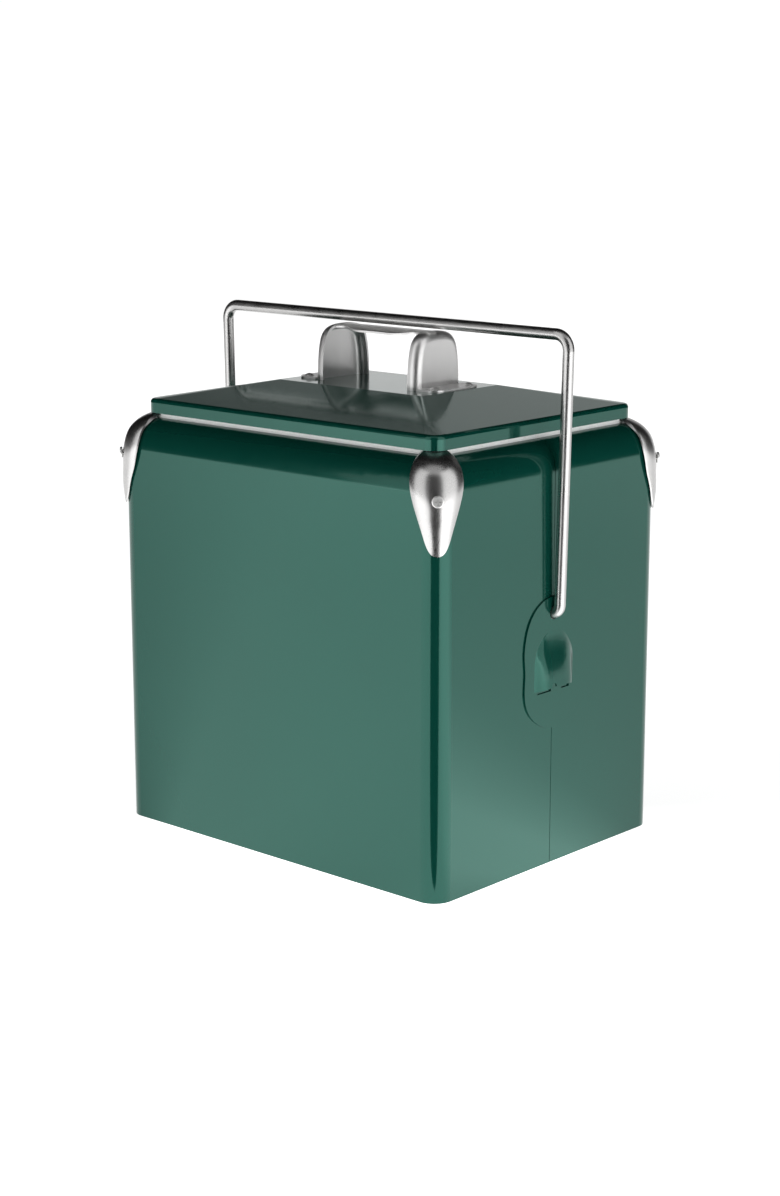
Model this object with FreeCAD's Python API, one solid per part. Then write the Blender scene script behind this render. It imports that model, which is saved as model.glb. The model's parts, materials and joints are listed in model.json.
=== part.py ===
import FreeCAD, Part
import math
import os

from FreeCAD import Vector

# Vintage soda cooler chest, millimetres.
# X runs along the long front face, -Y is the front, +Z is up, origin at the centre of the base.

# ---- driving dimensions ----
BODY_L = 305.0            # outside length of the steel body
BODY_W = 242.3            # outside width
BODY_R = 14.3             # vertical corner radius
WALL_TOP = 276.5          # the wall is vertical up to here
SHOULDER_TOP = 298.5      # top of the curved shoulder
SHOULDER_IN = 16.5        # how far the shoulder curves inward
CORNER_IN = 4.7           # the shoulder's rounded corners, measured along the diagonal
CORNER_LONG = 24.3
CORNER_RISE = 25.5
SHEET = 0.9               # steel sheet of the body shells
SEAM = 0.5                # gap of the butt seam on each narrow side
STRIP_T = 0.8             # backing strip behind the seam
BUSH_D = 12.0             # outside of the bush the bail turns in
BASE_T = 1.0              # base pan sheet
BASE_LIP = 14.0           # height of the base pan's turned-up edge

FLANGE_T = 3.3            # moulded rim of the inner tub
RIM_IN = 16.0             # how far the rim's edge lies inside the wall face
RIM_R = 13.0              # corner radius of the rim
TUB_WALL = 2.5
TUB_L = 252.0             # inside length of the tub at the top
TUB_W = 189.4
TUB_R = 18.0
TUB_DRAFT = 1.5           # the tub narrows by this much per side to its floor
FOAM_GAP = 1.0
FOAM_LOW = 18.0           # underside of the wall foam
PIVOT_ROOM = 24.0         # half size of the room left in it round a pivot
TUB_FLOOR = 22.0          # top face of the tub floor

LID_IN = 13.95            # how far the lid skirt lies inside the wall face
LID_Z = SHOULDER_TOP + FLANGE_T
LID_SKIRT = 9.8
LID_TOP = 325.0           # flat plateau in the middle of the lid
LID_R = 9.5
LID_EDGE_R = 3.0          # rounding along the top of the skirt
LID_SHEET = 0.8
PLAT_L = 138.0
PLAT_W = 81.4
PLUG_DEEP = 14.0          # how far the lid's plug reaches into the tub
PLUG_GAP = 2.4

PIVOT_Z = 180.0           # height of the bail's pivots
BAIL_D = 8.0              # round bar of the bail
BAIL_Z = 370.0            # height of the bar's centre with the bail upright
BAIL_X = 158.0            # centre of each arm beside the pivot
BAIL_SPLAY = 0.022        # the arms lean outward by this much per unit height
BAIL_R = 10.5
BAIL_FOOT_R = 6.0
PIN_IN = 141.0            # the turned-in ends reach inward to here

PLATE_T = 1.0             # opener plate
PLATE_GAP = 0.05
HUMP_HALF = 21.5          # half width of the pressed hump at its root
HUMP_TOP = 168.0
HUMP_LIP = 129.5          # middle of the lip; its ends come lower
HUMP_LIP_END = 126.0
LIP_GAP = 1.2             # how far the slot behind the lip shows below it
HUMP_OUT = 6.0
HUMP_WALL = 0.6
MOUTH_HALF = 17.5         # half width of the slot behind the lip

CAP_T = 1.0               # corner cap sheet
CAP_SCREW_Z = 272.5
CAP_SEAT = -2.4           # the screw heads sit this far inside the virtual corner
SCREW_HEAD_D = 8.0
SCREW_HEAD_H = 1.7
SCREW_D = 4.0

HANDLE_T = 1.4            # strap of the lid handle
FOOT_HALF = 24.2          # half width of a foot
HANDLE_FOOT_X = 67.0
RIVET_X = 60.0
RIVET_Y = 18.0

HX = BODY_L / 2
HY = BODY_W / 2


# ---- helpers ----
def vec(x, y, z):
    return Vector(x, y, z)


def save(node, shape):
    shape.exportStep(os.path.join("parts", node + ".step"))


def rect_wire(half_x, half_y, r, z):
    """A rectangle with rounded corners, centred on the axis."""
    pts = []
    k = r * (1 - math.sqrt(0.5))
    edges = []
    corners = [(1, 1, 0), (-1, 1, 90), (-1, -1, 180), (1, -1, 270)]
    for sx, sy, deg in corners:
        cx = sx * (half_x - r)
        cy = sy * (half_y - r)
        a = math.radians(deg)
        first = vec(cx + r * math.cos(a), cy + r * math.sin(a), z)
        mid = vec(sx * (half_x - k), sy * (half_y - k), z)
        b = a + math.pi / 2
        last = vec(cx + r * math.cos(b), cy + r * math.sin(b), z)
        if pts:
            edges.append(Part.makeLine(pts[-1], first))
        edges.append(Part.Arc(first, mid, last).toShape())
        pts += [first, last]
    edges.append(Part.makeLine(pts[-1], pts[0]))
    return Part.Wire(edges)


def rect_prism(half_x, half_y, r, z0, z1):
    face = Part.Face(rect_wire(half_x, half_y, r, z0))
    return face.extrude(vec(0, 0, z1 - z0))


def tapered(half_x0, half_y0, r0, z0, half_x1, half_y1, r1, z1):
    low = rect_wire(half_x0, half_y0, r0, z0)
    high = rect_wire(half_x1, half_y1, r1, z1)
    return Part.makeLoft([low, high], True, True)


def box(x0, x1, y0, y1, z0, z1):
    return Part.makeBox(x1 - x0, y1 - y0, z1 - z0, vec(x0, y0, z0))


def cyl(d, height, at, axis):
    return Part.makeCylinder(d / 2, height, at, axis)


def mirror_x(shape):
    return shape.mirror(vec(0, 0, 0), vec(1, 0, 0))


def mirror_y(shape):
    return shape.mirror(vec(0, 0, 0), vec(0, 1, 0))


# ---- steel body ----
def shoulder_profile(half, inset, rise, low, off, turn):
    """Upright profile of the body with a curved shoulder, extruded level across the body."""
    a = inset - off
    b = rise - off
    flat = half - inset
    side = half - off
    depth = 2 * BODY_L
    v = [vec(-side, -depth, -1), vec(side, -depth, -1), vec(side, -depth, low),
         vec(flat, -depth, low + b), vec(-flat, -depth, low + b), vec(-side, -depth, low)]
    edges = [Part.makeLine(v[5], v[0]), Part.makeLine(v[0], v[1]), Part.makeLine(v[1], v[2])]
    edges.append(quarter(flat, -depth, low, a, b, 1))
    edges.append(Part.makeLine(v[3], v[4]))
    edges.append(quarter(flat, -depth, low, a, b, -1))
    solid = Part.Face(Part.Wire(edges)).extrude(vec(0, 2 * depth, 0))
    solid.rotate(vec(0, 0, 0), vec(0, 0, 1), turn)
    return solid


def quarter(flat, y, low, a, b, side):
    """Quarter of an ellipse between the wall and the flat top."""
    centre = vec(side * flat, y, low)
    wall = centre + vec(side * a, 0, 0)
    top = centre + vec(0, 0, b)
    if a > b:
        ellipse = Part.Ellipse(wall, top, centre)
    else:
        ellipse = Part.Ellipse(top, wall, centre)
    return Part.ArcOfEllipse(ellipse, 0, math.pi / 2).toShape()


def body_solid(off):
    """The body's outside, or the same shape lying off inside it."""
    rise = SHOULDER_TOP - WALL_TOP
    corner = (HX + HY) * math.sqrt(0.5) - CORNER_IN
    solid = rect_prism(HX - off, HY - off, BODY_R - off, 0, SHOULDER_TOP)
    solid = solid.common(shoulder_profile(HX, SHOULDER_IN, rise, WALL_TOP, off, 0))
    solid = solid.common(shoulder_profile(HY, SHOULDER_IN, rise, WALL_TOP, off, 90))
    low = SHOULDER_TOP - CORNER_RISE
    for turn in (45, -45):
        solid = solid.common(shoulder_profile(corner, CORNER_LONG, CORNER_RISE, low, off, turn))
    return solid


def make_shell():
    shell = body_solid(0).cut(body_solid(SHEET))
    half_x = TUB_L / 2 + TUB_WALL + 0.4
    half_y = TUB_W / 2 + TUB_WALL + 0.4
    shell = shell.cut(rect_prism(half_x, half_y, TUB_R + TUB_WALL, WALL_TOP, SHOULDER_TOP + 5))
    for s in (-1, 1):
        pin = cyl(BAIL_D + 2, 30, vec(s * (HX - 15), 0, PIVOT_Z), vec(s, 0, 0))
        shell = shell.cut(pin)
    for x, y in corner_signs():
        shell = shell.cut(diagonal_hole(x, y, SCREW_D + 0.6))
    return shell


def half_shell(shell, side):
    keep = box(-HX - 5, HX + 5, SEAM / 2, HY + 5, -5, SHOULDER_TOP + 5)
    if side < 0:
        keep = mirror_y(keep)
    return shell.common(keep)


def seam_strip(s):
    """Flat strip behind the butt seam of a narrow side, with a hole for the pivot."""
    inner = HX - SHEET
    strip = box(inner - STRIP_T, inner - 0.02, -12, 12, BASE_T + BASE_LIP + 1, WALL_TOP - 1)
    strip = strip.cut(cyl(BUSH_D + 0.04, 10, vec(inner - 5, 0, PIVOT_Z), vec(1, 0, 0)))
    return strip if s > 0 else mirror_x(strip)


def base_pan():
    off = SHEET
    pan = rect_prism(HX - off, HY - off, BODY_R - off, 0, BASE_LIP + BASE_T)
    room = rect_prism(HX - off - BASE_T, HY - off - BASE_T, BODY_R - off - BASE_T,
                      BASE_T, BASE_LIP + 10)
    return pan.cut(room)


# ---- inner tub and insulation ----
def tub_outer():
    t = TUB_WALL
    d = TUB_DRAFT
    return tapered(TUB_L / 2 - d + t, TUB_W / 2 - d + t, TUB_R + t, TUB_FLOOR - t,
                   TUB_L / 2 + t, TUB_W / 2 + t, TUB_R + t, LID_Z)


def tub_room():
    d = TUB_DRAFT
    return tapered(TUB_L / 2 - d, TUB_W / 2 - d, TUB_R, TUB_FLOOR,
                   TUB_L / 2, TUB_W / 2, TUB_R, LID_Z)


def liner_tub():
    rim = rect_prism(HX - RIM_IN, HY - RIM_IN, RIM_R, SHOULDER_TOP, LID_Z)
    tub = tub_outer().fuse(rim)
    return tub.cut(tub_room()).removeSplitter()


def wall_foam():
    """Foam ring between the shell and the tub, left clear round the pivots and the cap screws."""
    block = body_solid(SHEET + FOAM_GAP).common(box(-HX, HX, -HY, HY, FOAM_LOW, SHOULDER_TOP - 9.0))
    block = block.cut(tub_outer())
    block = block.cut(box(-TUB_L / 2, TUB_L / 2, -TUB_W / 2, TUB_W / 2, 0, TUB_FLOOR - TUB_WALL))
    for s in (-1, 1):
        x0, x1 = sorted((s * (HX - 20), s * HX))
        block = block.cut(box(x0, x1, -PIVOT_ROOM, PIVOT_ROOM, PIVOT_Z - PIVOT_ROOM, PIVOT_Z + PIVOT_ROOM))
    for x, y in corner_signs():
        block = block.cut(diagonal_hole(x, y, 15.0))
    return block


def floor_foam():
    """Slab under the tub: wide below the wall foam, narrower where it rises inside the ring."""
    off = SHEET + BASE_T + 8.0
    wide = rect_prism(HX - off, HY - off, 12, BASE_T, FOAM_LOW)
    return wide.fuse(rect_prism(TUB_L / 2 - 2, TUB_W / 2 - 2, 12, FOAM_LOW - 1, TUB_FLOOR - TUB_WALL))


# ---- corner caps ----
def corner_signs():
    return [(1, -1), (-1, -1), (-1, 1), (1, 1)]


def corner_axes(sx, sy):
    """Virtual corner of the walls, the outward diagonal and the level direction across it."""
    s = math.sqrt(0.5)
    return vec(sx * HX, sy * HY, 0), vec(sx * s, sy * s, 0), vec(-sy * s, sx * s, 0)


def at_corner(sx, sy, out, across, z):
    corner, u, v = corner_axes(sx, sy)
    return corner + u * out + v * across + vec(0, 0, z)


def diagonal_hole(sx, sy, d):
    _, u, _ = corner_axes(sx, sy)
    return cyl(d, 36, at_corner(sx, sy, -32, 0, CAP_SCREW_Z), u)


def bare_corner(across, z, off):
    """How far out the body surface lies on a line beside the diagonal, measured from the corner."""
    rise = max(0.0, min(1.0, (z - WALL_TOP) / (SHOULDER_TOP - WALL_TOP)))
    inset = SHOULDER_IN * (1 - math.sqrt(1 - rise * rise))
    v = abs(across)
    r = BODY_R
    centre = -r * math.sqrt(2)
    if v < r * math.sqrt(0.5):
        out = centre + math.sqrt(r * r - v * v)
    else:
        out = -v
    mitre = -v - inset * math.sqrt(2)
    lift = max(0.0, min(1.0, (z - SHOULDER_TOP + CORNER_RISE) / CORNER_RISE))
    rounded = -CORNER_IN - CORNER_LONG * (1 - math.sqrt(1 - lift * lift))
    return min(out, mitre, rounded) + off


# height, how far out the ridge of the cap lies, half width there
CAP_RIDGE = [(231.0, -5.0, 5.0), (238.0, -3.7, 7.6), (246.0, -2.7, 10.2), (257.0, -2.4, 13.4),
             (267.0, -2.6, 16.2), (276.5, -3.3, 18.6), (283.0, -4.8, 19.2), (289.4, -7.4, 18.6),
             (294.5, -11.6, 16.6), (298.6, -17.4, 13.8), (300.7, -22.0, 11.6), (301.6, -26.6, 9.6)]


def cap_inner_rows():
    """The ridge moved inward by the sheet's thickness, square to its own slope."""
    rows = []
    last = len(CAP_RIDGE) - 1
    for i, (z, ridge, half) in enumerate(CAP_RIDGE):
        z0, r0, _ = CAP_RIDGE[max(i - 1, 0)]
        z1, r1, _ = CAP_RIDGE[min(i + 1, last)]
        length = math.hypot(z1 - z0, r1 - r0)
        rows.append((z + CAP_T * (r1 - r0) / length, ridge - CAP_T * (z1 - z0) / length, half))
    return rows


def cap_dome(sx, sy, rows, off, back):
    """Solid under the cap's outer or inner surface, as far back as a plane behind the corner."""
    wires = []
    for z, ridge, half in rows:
        edge_out = min(bare_corner(half, z, 1.5), ridge - 1.2) - off
        e1 = at_corner(sx, sy, edge_out, -half, z)
        e2 = at_corner(sx, sy, edge_out, half, z)
        b1 = at_corner(sx, sy, back, -half, z)
        b2 = at_corner(sx, sy, back, half, z)
        arc = Part.Arc(e1, at_corner(sx, sy, ridge, 0, z), e2).toShape()
        wires.append(Part.Wire([arc, Part.makeLine(e2, b2), Part.makeLine(b2, b1), Part.makeLine(b1, e1)]))
    return Part.makeLoft(wires, True, False)


def teardrop(sx, sy):
    """Outline of the cap seen along the diagonal, as a prism through the corner."""
    rim = [(0, 303.4), (-8.2, 301.2), (-13.8, 296.0), (-16.9, 288.5), (-17.4, 280.5), (-15.9, 271.5),
           (-12.8, 260.5), (-9.3, 249.0), (-6.1, 240.3), (-3.4, 237.0), (0, 236.0)]
    pts = [at_corner(sx, sy, 20, a, z) for a, z in rim]
    pts += [at_corner(sx, sy, 20, -a, z) for a, z in reversed(rim[1:-1])]
    curve = Part.BSplineCurve()
    curve.interpolate(pts, PeriodicFlag=True)
    _, u, _ = corner_axes(sx, sy)
    return Part.Face(Part.Wire(curve.toShape())).extrude(u * -70)


def corner_cap(sx, sy):
    cap = cap_dome(sx, sy, CAP_RIDGE, 0.0, -45.0)
    cap = cap.common(teardrop(sx, sy))
    cap = cap.cut(cap_dome(sx, sy, cap_inner_rows(), CAP_T, -60.0))
    rim_room = rect_prism(HX - RIM_IN + 0.3, HY - RIM_IN + 0.3, RIM_R, SHOULDER_TOP - 8, LID_Z + 0.5)
    cap = cap.cut(rim_room).cut(body_solid(-0.02))
    cap = cap.cut(diagonal_hole(sx, sy, SCREW_D + 0.4))
    solids = sorted(cap.Solids, key=lambda s: s.Volume)
    return solids[-1]


def corner_screw(sx, sy):
    """Pan-head cross-recess screw through the cap into a clip nut behind the shell."""
    _, u, v = corner_axes(sx, sy)
    seat = CAP_SEAT
    base = at_corner(sx, sy, seat, 0, CAP_SCREW_Z)
    shank = cyl(SCREW_D, 17, at_corner(sx, sy, seat - 17, 0, CAP_SCREW_Z), u)
    head = cyl(SCREW_HEAD_D, SCREW_HEAD_H, base, u)
    edge = [e for e in head.Edges if abs(e.Length - math.pi * SCREW_HEAD_D) < 0.01]
    outer = [e for e in edge if (e.CenterOfMass - base).dot(u) > 1]
    head = head.makeFillet(0.9, outer)
    screw = head.fuse(shank).removeSplitter()
    up = vec(0, 0, 1)
    for a, b in ((v, up), (up, v)):
        corner = base + u * 0.7 - a * 2.2 - b * 0.4
        slot = Part.Face(Part.makePolygon([corner, corner + a * 4.4, corner + a * 4.4 + b * 0.8,
                                           corner + b * 0.8, corner])).extrude(u * 2)
        screw = screw.cut(slot)
    return screw


def corner_nut(sx, sy):
    """Square clip nut behind the corner of the shell."""
    _, u, v = corner_axes(sx, sy)
    z = CAP_SCREW_Z
    start = at_corner(sx, sy, -16.6, -5, z - 5)
    up = vec(0, 0, 1)
    face = Part.Face(Part.makePolygon([start, start + v * 10, start + v * 10 + up * 10,
                                       start + up * 10, start]))
    nut = face.extrude(u * 3.2)
    return nut.cut(cyl(SCREW_D, 20, at_corner(sx, sy, -24, 0, z), u))


# ---- pivots and openers ----
def plate_outline(x):
    """Egg-shaped plate standing on a narrow side."""
    half = [(0, 191.6), (-9.5, 190.3), (-18.6, 185.6), (-26.3, 177.0), (-31.0, 164.0), (-32.0, 154.5),
            (-31.0, 142.0), (-31.4, 127.5), (-28.6, 116.2), (-21.6, 107.6), (-11.5, 101.2), (0, 98.6)]
    pts = [vec(x, a, z) for a, z in half]
    pts += [vec(x, -a, z) for a, z in reversed(half[1:-1])]
    curve = Part.BSplineCurve()
    curve.interpolate(pts, PeriodicFlag=True)
    return Part.Face(Part.Wire(curve.toShape()))


def hump_section(x, z, half, out):
    """Cross-section of the hump at one height: it rises softly from the plate to a broad crown."""
    side = [(1.0, 0.0), (0.93, 0.14), (0.84, 0.42), (0.70, 0.74), (0.45, 0.95), (0.0, 1.0)]
    pts = [vec(x + out * b, -half * a, z) for a, b in side]
    pts += [vec(x + out * b, half * a, z) for a, b in reversed(side[:-1])]
    curve = Part.BSplineCurve()
    curve.interpolate(pts)
    return Part.Wire([curve.toShape(), Part.makeLine(pts[-1], pts[0])])


def hump(x, shrink, z_low):
    """The hump swells from its round top down to the lip, where it is open underneath."""
    rows = []
    steps = 7
    top = HUMP_TOP - shrink - 0.6
    for i in range(steps + 1):
        z = top + (z_low - top) * i / steps
        drop = HUMP_TOP - z
        r = HUMP_HALF
        width = r if drop > r else math.sqrt(r * r - (r - drop) ** 2)
        u = min(1.0, drop / (HUMP_TOP - HUMP_LIP))
        out = HUMP_OUT * (0.6 * u + 0.4 * u * u * (3 - 2 * u))
        rows.append(hump_section(x, z, max(width - shrink, 3.0), max(out - shrink, 0.15)))
    return Part.makeLoft(rows, True, False)


def below_lip(x):
    """Everything in front of the plate and under the arched edge of the lip."""
    side = HUMP_HALF + 4
    ends = [vec(x, -side, HUMP_LIP_END), vec(x, side, HUMP_LIP_END)]
    arc = Part.Arc(ends[0], vec(x, 0, HUMP_LIP), ends[1]).toShape()
    low = HUMP_LIP_END - 8
    wire = Part.Wire([arc, Part.makeLine(ends[1], vec(x, side, low)),
                      Part.makeLine(vec(x, side, low), vec(x, -side, low)),
                      Part.makeLine(vec(x, -side, low), ends[0])])
    return Part.Face(wire).extrude(vec(20, 0, 0))


def opener_plate(s):
    """Pressed steel plate: the bail's pivot passes through it above, and it opens crown caps below."""
    x = HX + PLATE_GAP
    plate = plate_outline(x).extrude(vec(PLATE_T, 0, 0))
    face = x + PLATE_T
    outer = hump(face - 0.1, 0.0, HUMP_LIP_END - 1)
    inner = hump(x - 0.6, HUMP_WALL, HUMP_LIP_END - 3).fuse(hump(x + 0.35, HUMP_WALL, HUMP_LIP_END - 3))
    slot = box(x - 2, x + 20, -MOUTH_HALF, MOUTH_HALF, HUMP_LIP_END - LIP_GAP, HUMP_TOP - 14)
    plate = plate.fuse(outer.cut(below_lip(face + 0.001)))
    plate = plate.cut(inner.common(slot))
    notch = cyl(4.6, HUMP_OUT + 2, vec(face + 1.5, -6.0, HUMP_LIP + 0.5), vec(1, 0, 0))
    plate = plate.cut(notch)
    plate = plate.fuse(box(x, face, -2.6, 9.0, HUMP_LIP_END - 4, HUMP_LIP + 3.0))
    plate = plate.cut(cyl(BAIL_D + 1.6, 40, vec(HX - 20, 0, PIVOT_Z), vec(1, 0, 0)))
    plate = plate.removeSplitter()
    solids = sorted(plate.Solids, key=lambda p: p.Volume)
    return solids[-1] if s > 0 else mirror_x(solids[-1])


def pivot_bracket(s):
    """Square backing plate behind the seam that carries the bush."""
    inner = HX - SHEET
    outer = inner - STRIP_T - 0.02
    plate = box(outer - 2.0, outer, -20, 20, PIVOT_Z - 20, PIVOT_Z + 20)
    plate = plate.cut(cyl(BUSH_D, 20, vec(inner - 10, 0, PIVOT_Z), vec(1, 0, 0)))
    return plate if s > 0 else mirror_x(plate)


def pivot_bush(s):
    """Plain steel bush in the backing plate, in which the end of the bail turns."""
    inner = HX - SHEET
    bush = cyl(BUSH_D, 6.0, vec(inner - 6.02, 0, PIVOT_Z), vec(1, 0, 0))
    collar = cyl(BAIL_D + 9.0, 1.6, vec(inner - 6.02, 0, PIVOT_Z), vec(1, 0, 0))
    bush = bush.fuse(collar).cut(cyl(BAIL_D + 0.1, 20, vec(inner - 12, 0, PIVOT_Z), vec(1, 0, 0)))
    bush = bush.removeSplitter()
    return bush if s > 0 else mirror_x(bush)


# ---- bail ----
def fillet_corner(a, b, c, r):
    """Tangent points and the middle of an arc of radius r between lines a-b and b-c."""
    d1 = (a - b).normalize()
    d2 = (c - b).normalize()
    half = d1.getAngle(d2) / 2
    reach = r / math.tan(half)
    p1 = b + d1 * reach
    p2 = b + d2 * reach
    bis = (d1 + d2).normalize()
    centre = b + bis * (r / math.sin(half))
    mid = centre - bis * r
    return p1, mid, p2


def bail_handle():
    rise = BAIL_Z - PIVOT_Z
    top_x = BAIL_X + BAIL_SPLAY * rise
    ends = [vec(-PIN_IN, 0, PIVOT_Z), vec(-BAIL_X, 0, PIVOT_Z), vec(-top_x, 0, BAIL_Z),
            vec(top_x, 0, BAIL_Z), vec(BAIL_X, 0, PIVOT_Z), vec(PIN_IN, 0, PIVOT_Z)]
    radii = [BAIL_FOOT_R, BAIL_R, BAIL_R, BAIL_FOOT_R]
    edges = []
    last = ends[0]
    for i, r in enumerate(radii):
        p1, mid, p2 = fillet_corner(ends[i], ends[i + 1], ends[i + 2], r)
        edges.append(Part.makeLine(last, p1))
        edges.append(Part.Arc(p1, mid, p2).toShape())
        last = p2
    edges.append(Part.makeLine(last, ends[-1]))
    path = Part.Wire(edges)
    start = Part.Wire(Part.makeCircle(BAIL_D / 2, ends[0], vec(1, 0, 0)))
    rod = path.makePipeShell([start], True, False)
    return rod


def bail_retainer(s):
    """Push-on ring pressed on the end of the bail inside the chest."""
    ring = cyl(17.0, 1.4, vec(PIN_IN + 1.5, 0, PIVOT_Z), vec(1, 0, 0))
    ring = ring.cut(cyl(BAIL_D, 10, vec(PIN_IN - 2, 0, PIVOT_Z), vec(1, 0, 0)))
    return ring if s > 0 else mirror_x(ring)


# ---- lid ----
def lid_body(off):
    """Skirt with upright sides, four sloped faces and a flat plateau."""
    half_x = HX - LID_IN - off
    half_y = HY - LID_IN - off
    skirt_top = LID_Z + LID_SKIRT - off * 0.9
    r = max(LID_R - off, 1.0)
    skirt = rect_prism(half_x, half_y, r, LID_Z, skirt_top)
    p_r = 2.0
    roof = tapered(half_x, half_y, r, skirt_top, PLAT_L / 2 - off * 0.2, PLAT_W / 2 - off * 0.2, p_r, LID_TOP - off)
    return skirt.fuse(roof).removeSplitter()


def soften_lid(off):
    """The lid's solid with the edge between skirt and roof rounded over."""
    solid = lid_body(off)
    edges = []
    for e in solid.Edges:
        z0 = e.BoundBox.ZMin
        z1 = e.BoundBox.ZMax
        level = abs(z1 - z0) < 0.01
        if level and abs(z0 - LID_Z - LID_SKIRT + off * 0.9) < 0.05:
            edges.append(e)
    return solid.makeFillet(LID_EDGE_R - off, edges)


def lid_skin():
    skin = soften_lid(0).cut(soften_lid(LID_SHEET))
    for x, y in rivet_spots():
        skin = skin.cut(cyl(4.0, 20, vec(x, y, LID_TOP - 10), vec(0, 0, 1)))
    return skin


def lid_plug_half():
    gap = PLUG_GAP
    return TUB_L / 2 - gap, TUB_W / 2 - gap


def lid_liner():
    """Moulded inner lid: a flat rim and a shallow plug that drops into the tub."""
    half_x, half_y = lid_plug_half()
    rim = rect_prism(HX - LID_IN - LID_SHEET, HY - LID_IN - LID_SHEET, LID_R - LID_SHEET, LID_Z + 1.2, LID_Z + 3.4)
    plug = tapered(half_x - 2.0, half_y - 2.0, TUB_R - 3.4, LID_Z - PLUG_DEEP,
                   half_x, half_y, TUB_R - PLUG_GAP, LID_Z + 2.4)
    room = tapered(half_x - 4.2, half_y - 4.2, TUB_R - 5.6, LID_Z - PLUG_DEEP + 2.2,
                   half_x - 2.2, half_y - 2.2, TUB_R - 4.6, LID_Z + 3.4)
    return rim.fuse(plug).cut(room).removeSplitter()


def lid_gasket():
    """Soft flat ring under the lid's rim that seals on the rim of the tub."""
    half_x, half_y = lid_plug_half()
    outer = rect_prism(HX - RIM_IN - 1.0, HY - RIM_IN - 1.0, RIM_R - 1.0, LID_Z + 0.02, LID_Z + 1.2)
    return outer.cut(rect_prism(half_x + 2.0, half_y + 2.0, TUB_R, LID_Z - 1, LID_Z + 3))


def lid_foam():
    half_x, half_y = lid_plug_half()
    upper = lid_body(LID_SHEET + 0.7).common(rect_prism(HX, HY, 1, LID_Z + 3.5, LID_TOP))
    lower = tapered(half_x - 4.6, half_y - 4.6, TUB_R - 6.0, LID_Z - PLUG_DEEP + 2.4,
                    half_x - 2.6, half_y - 2.6, TUB_R - 5.0, LID_Z + 3.5)
    foam = upper.fuse(lower).removeSplitter()
    for s in (-1, 1):
        x0, x1 = sorted((s * 50, s * 70))
        foam = foam.cut(box(x0, x1, -29, 29, LID_TOP - 6.5, LID_TOP))
    return foam


def rivet_spots():
    return [(sx * RIVET_X, sy * RIVET_Y) for sx in (-1, 1) for sy in (-1, 1)]


# one side of the handle from foot to centre: x, z, half width, how far the edges turn in, tilt in degrees
# The lid handle's leg seen from the chest's end: (half width, height), up to the middle of its arched top.
LEG_OUTLINE = [(24.6, LID_TOP - 6), (24.3, 336.0), (23.5, 345.0), (22.2, 352.0), (20.0, 357.6),
               (16.2, 361.6), (9.5, 363.9), (0.0, 364.5)]
# The grip seen from above: (along the chest, half width), from inside a leg to the middle.
GRIP_OUTLINE = [(44.0, 12.6), (40.0, 10.2), (35.0, 8.7), (30.0, 9.2), (25.0, 11.2), (19.0, 12.9), (10.0, 13.2)]
LEG_X = 48.8              # outer face of a leg
LEG_DEPTH = 8.5           # how far its edges turn inward
LEG_BEND = 6.0            # radius of that turn
GRIP_TOP = 364.3
GRIP_BOW = 2.6            # how far the grip's long edges hang below its middle


def leg_block(inset, back):
    """Solid with the leg's arched outline, rounded along the outer edge."""
    pts = [vec(0, -(half - inset), z - (inset if z > LID_TOP else 0)) for half, z in LEG_OUTLINE[:-1]]
    top = LEG_OUTLINE[-1]
    pts += [vec(0, 0, top[1] - inset)]
    pts += [vec(0, -p.y, p.z) for p in reversed(pts[:-1])]
    curve = Part.BSplineCurve()
    curve.interpolate(pts)
    face = Part.Face(Part.Wire([curve.toShape(), Part.makeLine(pts[-1], pts[0])]))
    face.translate(vec(LEG_X - LEG_DEPTH - back, 0, 0))
    block = face.extrude(vec(LEG_DEPTH + back - inset, 0, 0))
    outer = []
    for e in block.Edges:
        b = e.BoundBox
        if b.XMin > LEG_X - inset - 0.1 and b.ZMax > 350:
            outer.append(e)
    return block.makeFillet(LEG_BEND - inset, outer)


def leg(side):
    """Scooped leg: a flat face with its edges turned inward, flowing over the arch."""
    shell = leg_block(0.0, 0.0).cut(leg_block(HANDLE_T, 3.0))
    shell = shell.cut(box(0, 80, -40, 40, LID_TOP - 12, LID_TOP + 0.02))
    return shell if side > 0 else mirror_x(shell)


def grip():
    """Bar between the legs: bowed across, waisted next to each leg."""
    half = 16.0
    ends = [vec(0, -half, GRIP_TOP - GRIP_BOW * 1.4), vec(0, half, GRIP_TOP - GRIP_BOW * 1.4)]
    under = vec(0, 0, -HANDLE_T)
    top = Part.Arc(ends[0], vec(0, 0, GRIP_TOP), ends[1]).toShape()
    low = Part.Arc(ends[1] + under, vec(0, 0, GRIP_TOP) + under, ends[0] + under).toShape()
    wire = Part.Wire([top, Part.makeLine(ends[1], ends[1] + under), low, Part.makeLine(ends[0] + under, ends[0])])
    reach = GRIP_OUTLINE[0][0] - 1.0
    bar = Part.Face(wire).extrude(vec(2 * reach, 0, 0))
    bar.translate(vec(-reach, 0, 0))
    pts = [vec(x, a, GRIP_TOP - 12) for x, a in GRIP_OUTLINE]
    pts += [vec(-p.x, p.y, p.z) for p in reversed(pts)]
    edges = []
    for sign in (1, -1):
        curve = Part.BSplineCurve()
        curve.interpolate([vec(p.x, sign * p.y, p.z) for p in pts])
        edges.append(curve.toShape())
    first, last = pts[0], pts[-1]
    edges.insert(1, Part.makeLine(last, vec(last.x, -last.y, last.z)))
    edges.append(Part.makeLine(vec(first.x, -first.y, first.z), first))
    plan = Part.Face(Part.Wire(Part.__sortEdges__(edges))).extrude(vec(0, 0, 20))
    return bar.common(plan)


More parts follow.
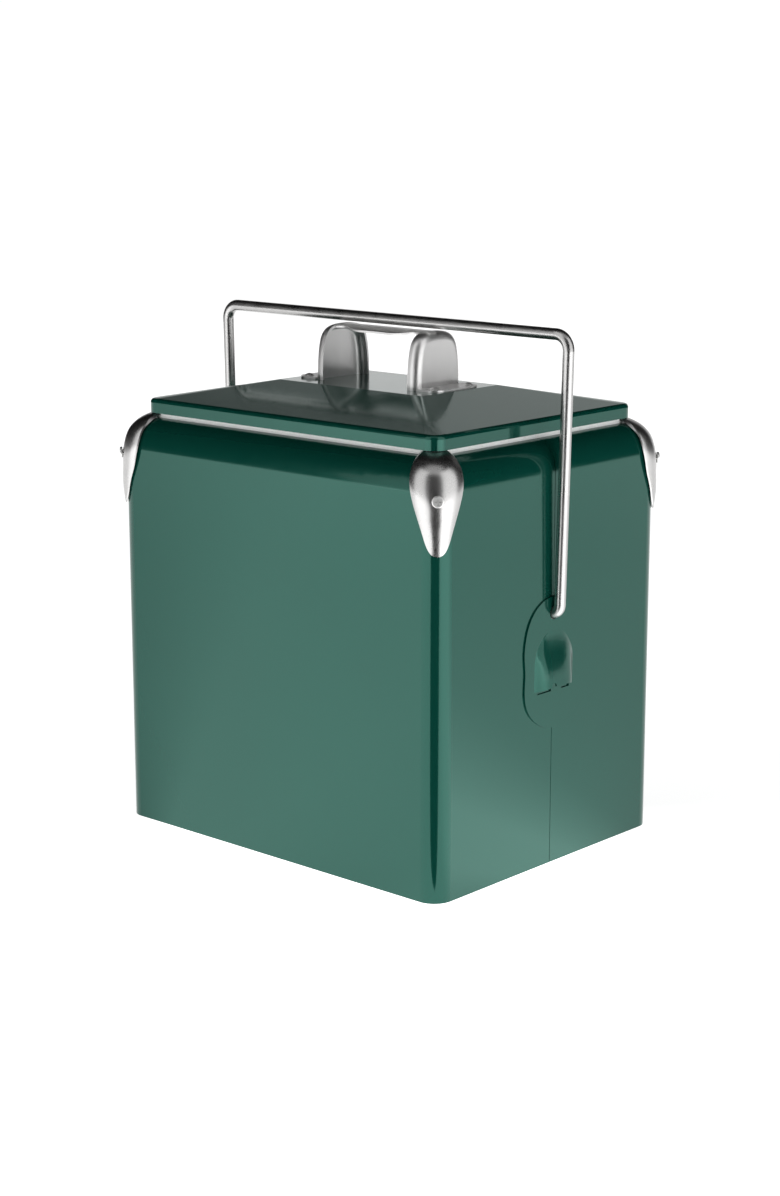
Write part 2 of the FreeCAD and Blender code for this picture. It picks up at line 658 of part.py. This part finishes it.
def handle_foot(side):
    """Flat foot turned outward on the plateau, rounded at its free corners."""
    foot = box(LEG_X - HANDLE_T, HANDLE_FOOT_X, -FOOT_HALF, FOOT_HALF, LID_TOP + 0.02, LID_TOP + 0.02 + HANDLE_T)
    edges = []
    for e in foot.Edges:
        c = e.CenterOfMass
        if c.x > HANDLE_FOOT_X - 0.1 and e.BoundBox.ZLength > HANDLE_T - 0.1:
            edges.append(e)
    foot = foot.makeFillet(8.0, edges)
    leg_back = box(LEG_X - HANDLE_T - 1, LEG_X - 0.5, -30, 30, LID_TOP, LID_TOP + 3)
    foot = foot.cut(leg_back)
    for y in (-RIVET_Y, RIVET_Y):
        foot = foot.cut(cyl(4.0, 20, vec(RIVET_X, y, LID_TOP - 10), vec(0, 0, 1)))
    return foot if side > 0 else mirror_x(foot)


def lid_handle():
    """Strap handle pressed from one sheet: two scooped legs, a bowed grip and two feet."""
    strap = grip()
    for side in (-1, 1):
        strap = strap.fuse(leg(side))
        strap = strap.fuse(handle_foot(side))
    return strap.removeSplitter()


def handle_rivet(x, y):
    """Round-head rivet through foot, lid and backing plate."""
    top = LID_TOP + 0.02 + HANDLE_T
    head = Part.makeSphere(4.2, vec(x, y, top - 2.4))
    head = head.common(cyl(6.8, 6, vec(x, y, top), vec(0, 0, 1)))
    low = LID_TOP - LID_SHEET - 1.7
    shank = cyl(4.0, top - low + 0.5, vec(x, y, low), vec(0, 0, 1))
    tail = cyl(6.4, 1.2, vec(x, y, low - 1.2), vec(0, 0, 1))
    return head.fuse(shank).fuse(tail).removeSplitter()


def rivet_plate(side):
    """Backing plate under the lid skin for one foot."""
    top = LID_TOP - LID_SHEET - 0.05
    plate = box(53.5, 66.5, -26, 26, top - 1.6, top)
    for y in (-RIVET_Y, RIVET_Y):
        plate = plate.cut(cyl(4.0, 20, vec(RIVET_X, y, top - 10), vec(0, 0, 1)))
    return plate if side > 0 else mirror_x(plate)


def main():
    os.makedirs("parts", exist_ok=True)
    shell = make_shell()
    save("front_shell", half_shell(shell, -1))
    save("rear_shell", half_shell(shell, 1))
    save("base_pan", base_pan())
    save("liner_tub", liner_tub())
    save("wall_foam", wall_foam())
    save("floor_foam", floor_foam())
    names = {(1, -1): "front_right", (-1, -1): "front_left", (-1, 1): "rear_left", (1, 1): "rear_right"}
    for (x, y), word in names.items():
        save("corner_cap_" + word, corner_cap(x, y))
    save("corner_screws", Part.makeCompound([corner_screw(x, y) for x, y in corner_signs()]))
    save("corner_nuts", Part.makeCompound([corner_nut(x, y) for x, y in corner_signs()]))
    for s, word in ((1, "right"), (-1, "left")):
        save("seam_strip_" + word, seam_strip(s))
        save("opener_plate_" + word, opener_plate(s))
        save("pivot_bracket_" + word, pivot_bracket(s))
        save("pivot_bush_" + word, pivot_bush(s))
        save("rivet_plate_" + word, rivet_plate(s))
    save("bail_handle", bail_handle())
    save("bail_retainers", Part.makeCompound([bail_retainer(s) for s in (-1, 1)]))
    save("lid_skin", lid_skin())
    save("lid_foam", lid_foam())
    save("lid_liner", lid_liner())
    save("lid_gasket", lid_gasket())
    save("lid_handle", lid_handle())
    save("handle_rivets", Part.makeCompound([handle_rivet(x, y) for x, y in rivet_spots()]))


main()
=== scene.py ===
import json
import math

import bpy
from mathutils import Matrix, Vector

# Vintage soda cooler chest: looks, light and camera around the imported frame. Metres throughout.
# X runs along the long face, -Y is the front, Z is up and the origin is at the bottom centre.

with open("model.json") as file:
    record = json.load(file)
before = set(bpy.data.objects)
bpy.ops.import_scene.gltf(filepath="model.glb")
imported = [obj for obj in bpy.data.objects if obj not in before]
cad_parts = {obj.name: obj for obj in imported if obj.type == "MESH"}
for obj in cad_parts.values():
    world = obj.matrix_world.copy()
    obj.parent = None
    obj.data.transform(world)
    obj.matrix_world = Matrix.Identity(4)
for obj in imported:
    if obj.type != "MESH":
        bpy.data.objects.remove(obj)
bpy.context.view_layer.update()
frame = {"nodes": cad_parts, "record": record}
NODES = frame["nodes"]


# ---- node helpers ----
class Mat:
    """A procedural material built step by step around one Principled shader."""

    def __init__(self, name):
        self.material = bpy.data.materials.new(name)
        self.material.use_nodes = True
        self.tree = self.material.node_tree
        self.bsdf = self.tree.nodes["Principled BSDF"]
        self.coord = self.tree.nodes.new("ShaderNodeTexCoord").outputs["Object"]

    def node(self, kind, **values):
        n = self.tree.nodes.new(kind)
        for key, value in values.items():
            if key in n.inputs:
                n.inputs[key].default_value = value
            else:
                setattr(n, key, value)
        return n

    def link(self, a, b):
        self.tree.links.new(a, b)

    def set(self, socket, value):
        self.bsdf.inputs[socket].default_value = value

    def drive(self, source, socket):
        self.link(source, self.bsdf.inputs[socket])

    def scaled(self, scale):
        n = self.node("ShaderNodeMapping")
        n.inputs["Scale"].default_value = scale
        self.link(self.coord, n.inputs["Vector"])
        return n.outputs["Vector"]

    def noise(self, scale, detail=3.0, roughness=0.5, vector=None):
        n = self.node("ShaderNodeTexNoise", Scale=scale, Detail=detail, Roughness=roughness)
        self.link(vector or self.coord, n.inputs["Vector"])
        return n.outputs["Fac"]

    def spread(self, source, low, high, start=0.3, end=0.7):
        n = self.node("ShaderNodeMapRange")
        n.inputs["From Min"].default_value = start
        n.inputs["From Max"].default_value = end
        n.inputs["To Min"].default_value = low
        n.inputs["To Max"].default_value = high
        self.link(source, n.inputs["Value"])
        return n.outputs["Result"]

    def tint(self, fac, a, b):
        n = self.node("ShaderNodeMix", data_type="RGBA")
        n.inputs[6].default_value = (*a, 1)
        n.inputs[7].default_value = (*b, 1)
        self.link(fac, n.inputs[0])
        return n.outputs[2]

    def sum(self, a, b):
        n = self.node("ShaderNodeMath", operation="ADD")
        self.link(a, n.inputs[0])
        self.link(b, n.inputs[1])
        return n.outputs[0]

    def bump(self, height, distance, strength, below=None):
        n = self.node("ShaderNodeBump", Distance=distance, Strength=strength)
        self.link(height, n.inputs["Height"])
        if below is not None:
            self.link(below, n.inputs["Normal"])
        return n.outputs["Normal"]


def fill_ramp(ramp, stops):
    """Set a colour ramp from (position, grey level) pairs."""
    elements = ramp.color_ramp.elements
    while len(elements) < len(stops):
        elements.new(0.5)
    for element, (position, level) in zip(elements, stops):
        element.position = position
        element.color = (level, level, level, 1)


# ---- materials ----
GREEN_DEEP = (0.0030, 0.074, 0.053)
GREEN_PALE = (0.0040, 0.084, 0.060)
LINE_LENGTH = 60          # how much longer a drawn line in the steel is than it is wide
LINE_DARKENING = 0.93
BLOTCH = 0.03             # change of roughness where the steel was handled
BEAD_PALE = (0.86, 0.86, 0.84)
# Painted shade in the creases between foam beads.
BEAD_CREASE_SHADE = (0.72, 0.72, 0.70)


def enamel():
    """Deep green pearl enamel under a clear gloss: faint clouding, orange peel and slow waves."""
    mat = Mat("green_enamel")
    mat.drive(mat.tint(mat.noise(9.0, 4.0, 0.55), GREEN_DEEP, GREEN_PALE), "Base Color")
    mat.drive(mat.spread(mat.noise(60.0, 3.0), 0.11, 0.15), "Roughness")
    mat.set("Metallic", 0.5)
    mat.set("Coat Weight", 0.24)
    mat.set("Specular IOR Level", 0.42)
    mat.set("Coat Roughness", 0.04)
    waves = mat.bump(mat.noise(14.0, 2.0), 0.0003, 0.2)
    mat.drive(mat.bump(mat.noise(900.0, 2.0), 0.00001, 0.3, waves), "Normal")
    return mat.material


def steel(name, tint, grain, low, high, along="z"):
    """Steel with fine drawn lines along x or z, between two roughnesses, and faint handling blotches."""
    mat = Mat(name)
    stretch = {"x": (grain / LINE_LENGTH, grain, grain), "z": (grain, grain, grain / LINE_LENGTH)}
    lines = mat.noise(1.0, 5.0, 0.65, mat.scaled(stretch[along]))
    mat.drive(mat.tint(lines, [c * LINE_DARKENING for c in tint], tint), "Base Color")
    mat.set("Metallic", 1.0)
    blotch = mat.spread(mat.noise(70.0, 3.0), -BLOTCH, BLOTCH)
    mat.drive(mat.sum(mat.spread(lines, low, high), blotch), "Roughness")
    mat.drive(mat.bump(lines, 0.00001, 0.3), "Normal")
    return mat.material


def moulded(name, light, dark, rough, grain):
    """Moulded plastic or rubber with a fine sparked grain."""
    mat = Mat(name)
    mat.drive(mat.tint(mat.noise(25.0, 4.0), dark, light), "Base Color")
    fine = mat.noise(grain, 2.0)
    mat.drive(mat.spread(fine, rough - 0.05, rough + 0.05), "Roughness")
    mat.drive(mat.bump(fine, 0.00003, 0.4), "Normal")
    return mat.material


def beads():
    """Expanded foam: packed beads about 3 mm across, each darker towards its sunken edge: painted shade in
    the creases between beads.
    """
    mat = Mat("bead_foam")
    cell = mat.node("ShaderNodeTexVoronoi", Scale=320.0)
    mat.link(mat.coord, cell.inputs["Vector"])
    edge = mat.spread(cell.outputs["Distance"], 0.0, 1.0, 0.0, 0.7)
    # Painted shade: the colour darkens towards each bead's edge, where the bump below sinks it.
    mat.drive(mat.tint(edge, BEAD_PALE, BEAD_CREASE_SHADE), "Base Color")
    mat.set("Roughness", 0.8)
    mat.drive(mat.bump(edge, 0.0004, -0.5), "Normal")
    return mat.material


GREEN = enamel()
CAP = steel("satin_steel", (0.60, 0.595, 0.59), 2600.0, 0.25, 0.33)
HANDLE = steel("brushed_handle_steel", (0.84, 0.835, 0.83), 2200.0, 0.36, 0.44)
BAR = steel("drawn_bar_steel", (0.55, 0.545, 0.54), 1800.0, 0.25, 0.34, "x")
BRIGHT = steel("bright_fastener_steel", (0.86, 0.86, 0.85), 1500.0, 0.40, 0.48)
LINER = moulded("pale_liner_plastic", (0.90, 0.91, 0.90), (0.87, 0.88, 0.87), 0.30, 700.0)
RUBBER = moulded("grey_gasket_rubber", (0.30, 0.30, 0.30), (0.25, 0.25, 0.25), 0.7, 500.0)
FOAM = beads()

BY_SLOT = {"body_paint": GREEN, "liner_plastic": LINER, "foam": FOAM, "cap_steel": CAP,
           "bail_steel": BAR, "fastener_steel": BRIGHT, "gasket_rubber": RUBBER}


def dress(node, material):
    """Give every slot of a node one material."""
    for slot in NODES[node].material_slots:
        slot.material = material


for part in frame["record"]["subparts"]:
    dress(part["node"], BY_SLOT[part["material_slot"]])
dress("lid_handle", HANDLE)


# ---- floor ----
# Most of the light comes off a bright round floor. How bright it is depends on the direction from the chest,
# in degrees round from the front (-Y) towards the right (+X): (direction, strength).
FLOOR_REACH = 3.6
FLOOR_SIDES = 96
FLOOR_GLOW = [(-180, 0.98), (-60, 0.92), (-49, 0.90), (-41, 1.50), (-20, 1.6), (30, 1.5), (60, 1.6),
              (75, 2.0), (100, 2.0), (122, 1.05), (140, 0.84), (180, 0.9)]
GLOW_PEAK = 2.0
FAR_GLOW = 0.20           # added beyond FAR_END, fading in from FAR_START
FAR_START = 1.2
FAR_END = 1.9

# The dark patch, a painted dark reflection, is a fan that opens from a point in front of the near corner,
# between two directions.
PATCH_POINT = (0.165, -0.135)
PATCH_DIRECTIONS = range(12, 63, 5)
PATCH_REACH = 3.4
PATCH_HEIGHT = 0.0006


def flat(name, outline, height):
    """A level sheet with the given outline, marked as part of the stage."""
    mesh = bpy.data.meshes.new(name)
    mesh.from_pydata([(x, y, height) for x, y in outline], [], [tuple(range(len(outline)))])
    made = bpy.data.objects.new(name, mesh)
    bpy.context.collection.objects.link(made)
    return made


def toward(degrees, reach):
    """Point at a distance from the origin, in the direction used by FLOOR_GLOW."""
    a = math.radians(degrees)
    return (reach * math.sin(a), -reach * math.cos(a))


def floor_glow(mat):
    """Strength by direction round the chest, as a ramp over the turning angle, a little more far out."""
    turn = mat.node("ShaderNodeMapping")
    turn.inputs["Rotation"].default_value = (0, 0, math.radians(90))
    mat.link(mat.coord, turn.inputs["Vector"])
    round_about = mat.node("ShaderNodeTexGradient", gradient_type="RADIAL")
    mat.link(turn.outputs["Vector"], round_about.inputs["Vector"])
    ramp = mat.node("ShaderNodeValToRGB")
    mat.link(round_about.outputs["Fac"], ramp.inputs["Fac"])
    fill_ramp(ramp, [(degrees / 360 + 0.5, strength / GLOW_PEAK) for degrees, strength in FLOOR_GLOW])
    away = mat.node("ShaderNodeVectorMath", operation="LENGTH")
    mat.link(mat.coord, away.inputs[0])
    far = mat.spread(away.outputs["Value"], 0.0, FAR_GLOW, FAR_START, FAR_END)
    return mat.sum(mat.spread(ramp.outputs["Color"], 0.0, GLOW_PEAK, 0.0, 1.0), far)


def stage_floor():
    """The pale floor that the chest stands on."""
    disc = flat("floor", [toward(k * 360 / FLOOR_SIDES, FLOOR_REACH) for k in range(FLOOR_SIDES)], 0.0)
    mat = Mat("pale_floor")
    mat.drive(mat.tint(mat.noise(3.0), (0.74, 0.74, 0.74), (0.78, 0.78, 0.78)), "Base Color")
    mat.set("Roughness", 0.9)
    mat.set("Specular IOR Level", 0.0)
    mat.set("Emission Color", (1, 1, 1, 1))
    mat.drive(floor_glow(mat), "Emission Strength")
    disc.data.materials.append(mat.material)


def dark_sector():
    """A dark patch in front of the near corner, seen only in glossy reflections: it paints a dark reflection
    onto the chest's paint and steel.
    """
    fan = [PATCH_POINT]
    for degrees in PATCH_DIRECTIONS:
        x, y = toward(degrees, PATCH_REACH)
        fan.append((PATCH_POINT[0] + x, PATCH_POINT[1] + y))
    patch = flat("dark_sector", fan, PATCH_HEIGHT)
    # Painted dark reflection: a near-black sheet that only glossy rays see.
    mat = Mat("painted_dark_reflection")
    mat.drive(mat.tint(mat.noise(40.0), (0.002, 0.002, 0.002), (0.003, 0.003, 0.003)), "Base Color")
    mat.set("Roughness", 1.0)
    mat.set("Specular IOR Level", 0.0)
    patch.data.materials.append(mat.material)
    patch.visible_camera = False
    patch.visible_diffuse = False
    patch.visible_shadow = False
    patch.visible_transmission = False


# ---- light ----
# Two upright panels beside the camera: name, direction, width, power.
PANELS = (("left_panel", -16, 1.9, 21.0), ("right_panel", 96, 2.4, 31.0))
PANEL_REACH = 2.2
PANEL_MIDDLE = 1.8
PANEL_HEIGHT = 3.6

# One weak panel overhead, tipped towards the top of the chest.
HIGH_DIRECTION = 38
HIGH_REACH = 0.95
HIGH_MIDDLE = 2.1
HIGH_SIZE = (1.7, 1.2)
HIGH_POWER = 3.0
CHEST_TOP = (0, 0, 0.3)


def soft_box(name, at, target, width, height, power):
    """An area light at one point, facing another."""
    data = bpy.data.lights.new(name, "AREA")
    data.shape = "RECTANGLE"
    data.size = width
    data.size_y = height
    data.energy = power
    light = bpy.data.objects.new(name, data)
    light.location = at
    aim = Vector(target) - Vector(at)
    light.rotation_euler = aim.to_track_quat("-Z", "Y").to_euler()
    light.visible_camera = False
    bpy.context.collection.objects.link(light)


def soft_boxes():
    """The two upright panels and the high one."""
    for name, degrees, width, power in PANELS:
        x, y = toward(degrees, PANEL_REACH)
        soft_box(name, (x, y, PANEL_MIDDLE), (0, 0, PANEL_MIDDLE), width, PANEL_HEIGHT, power)
    x, y = toward(HIGH_DIRECTION, HIGH_REACH)
    soft_box("high_panel", (x, y, HIGH_MIDDLE), CHEST_TOP, *HIGH_SIZE, HIGH_POWER)


# Direction of the pale backdrop behind the chest, the cosines between which its side edge fades, and how
# bright it is by height (sine of the elevation).
BACKDROP_TOWARD = (-0.50, 0.866, 0.0)
BACKDROP_EDGE = (0.82, 0.91)
BACKDROP_BY_HEIGHT = [(-1.0, 1.02), (0.06, 1.02), (0.22, 0.60), (0.40, 0.42), (0.62, 0.06), (1.0, 0.02)]
WHITE_TO_THE_EYE = (1.02, 1.02, 1.02, 1)


def sky():
    """Plain white to the eye; as light, a dark room with a pale backdrop on the far side only."""
    world = bpy.data.worlds.new("studio")
    world.use_nodes = True
    tree = world.node_tree
    way = tree.nodes.new("ShaderNodeTexCoord").outputs["Generated"]
    facing = tree.nodes.new("ShaderNodeVectorMath")
    facing.operation = "DOT_PRODUCT"
    facing.inputs[1].default_value = BACKDROP_TOWARD
    tree.links.new(way, facing.inputs[0])
    side = tree.nodes.new("ShaderNodeMapRange")
    side.inputs["From Min"].default_value = BACKDROP_EDGE[0]
    side.inputs["From Max"].default_value = BACKDROP_EDGE[1]
    side.interpolation_type = "SMOOTHSTEP"
    tree.links.new(facing.outputs["Value"], side.inputs["Value"])
    height = tree.nodes.new("ShaderNodeSeparateXYZ")
    tree.links.new(way, height.inputs[0])
    half = tree.nodes.new("ShaderNodeMapRange")
    half.inputs["From Min"].default_value = -1.0
    half.inputs["From Max"].default_value = 1.0
    tree.links.new(height.outputs["Z"], half.inputs["Value"])
    ramp = tree.nodes.new("ShaderNodeValToRGB")
    tree.links.new(half.outputs["Result"], ramp.inputs["Fac"])
    fill_ramp(ramp, [((z + 1) / 2, level) for z, level in BACKDROP_BY_HEIGHT])
    room = tree.nodes["Background"]
    tree.links.new(ramp.outputs["Color"], room.inputs["Color"])
    tree.links.new(side.outputs["Result"], room.inputs["Strength"])
    plain = tree.nodes.new("ShaderNodeBackground")
    plain.inputs["Color"].default_value = WHITE_TO_THE_EYE
    choose = tree.nodes.new("ShaderNodeMixShader")
    seen_directly = tree.nodes.new("ShaderNodeLightPath").outputs["Is Camera Ray"]
    tree.links.new(seen_directly, choose.inputs[0])
    tree.links.new(room.outputs[0], choose.inputs[1])
    tree.links.new(plain.outputs[0], choose.inputs[2])
    tree.links.new(choose.outputs[0], tree.nodes["World Output"].inputs["Surface"])
    bpy.context.scene.world = world


# ---- camera ----
# At the photograph's angle. The yaw (from +X) and the tilt down are in radians, lens and sensor in mm.
CAMERA_AT = Vector((1.09455, -1.21438, 0.53543))
CAMERA_YAW = 2.3033
CAMERA_DOWN = 0.2217
CAMERA_LENS = 69.23
CAMERA_SENSOR = 36.0


def camera():
    """The photograph's camera, made the scene's own."""
    data = bpy.data.cameras.new("camera")
    data.sensor_fit = "AUTO"
    data.sensor_width = CAMERA_SENSOR
    data.lens = CAMERA_LENS
    data.clip_end = 50
    cam = bpy.data.objects.new("camera", data)
    cam.location = CAMERA_AT
    level = math.cos(CAMERA_DOWN)
    aim = Vector((level * math.cos(CAMERA_YAW), level * math.sin(CAMERA_YAW), -math.sin(CAMERA_DOWN)))
    cam.rotation_euler = aim.to_track_quat("-Z", "Y").to_euler()
    bpy.context.collection.objects.link(cam)
    bpy.context.scene.camera = cam


stage_floor()
dark_sector()
soft_boxes()
sky()
camera()
bpy.context.scene.view_settings.view_transform = "Standard"
